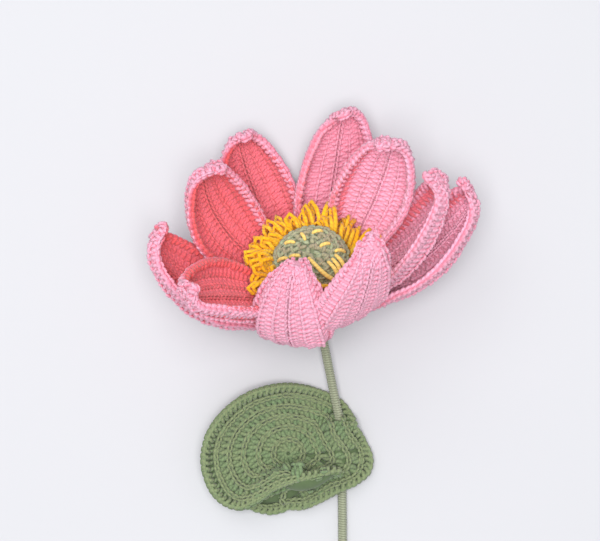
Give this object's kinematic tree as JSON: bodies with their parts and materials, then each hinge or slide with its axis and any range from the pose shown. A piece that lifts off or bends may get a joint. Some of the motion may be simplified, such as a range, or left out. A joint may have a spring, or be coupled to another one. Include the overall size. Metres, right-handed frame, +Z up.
{
  "type": "crocheted lotus flower",
  "caption": "Lotus flower crocheted in yarn: cupped petals round a stuffed seed pod with a yellow fringe, on a wired stem wound with yarn that runs through a folded round leaf, lying flat",
  "frame": {"origin": "bottom centre of the bounding box, on the surface that the flower lies on", "axes": "+Z up from the surface, +Y along the stem from its cut end towards the bloom, +X to the right seen from above with the bloom away from the viewer"},
  "size_m": [0.1608, 0.3296, 0.1167],
  "materials": {
    "petal_yarn": "soft pink acrylic yarn, crocheted, with raised stitches",
    "pod_yarn": "sage green yarn, crocheted in rounds",
    "filling": "white polyester wadding",
    "stamen_yarn": "golden yellow yarn in loose loops",
    "seed_yarn": "pale yellow yarn, short embroidered bars",
    "wire": "plain floral wire, cut end",
    "stem_yarn": "pale green yarn wound closely round the wire",
    "leaf_yarn": "mid green yarn, tall stitches in rounds"
  },
  "bodies": {
    "root": {"petal_01": "petal_yarn", "petal_02": "petal_yarn", "petal_03": "petal_yarn", "petal_04": "petal_yarn", "petal_05": "petal_yarn", "petal_06": "petal_yarn", "petal_07": "petal_yarn", "petal_08": "petal_yarn", "petal_09": "petal_yarn", "petal_10": "petal_yarn", "pod_cover": "pod_yarn", "pod_stuffing": "filling", "stamen_fringe": "stamen_yarn", "seed_stitch_1": "seed_yarn", "seed_stitch_2": "seed_yarn", "seed_stitch_3": "seed_yarn", "seed_stitch_4": "seed_yarn", "seed_stitch_5": "seed_yarn", "seed_stitch_6": "seed_yarn", "seed_stitch_7": "seed_yarn", "stem_wire": "wire", "stem_sleeve": "stem_yarn", "leaf": "leaf_yarn"}
  },
  "joints": []
}
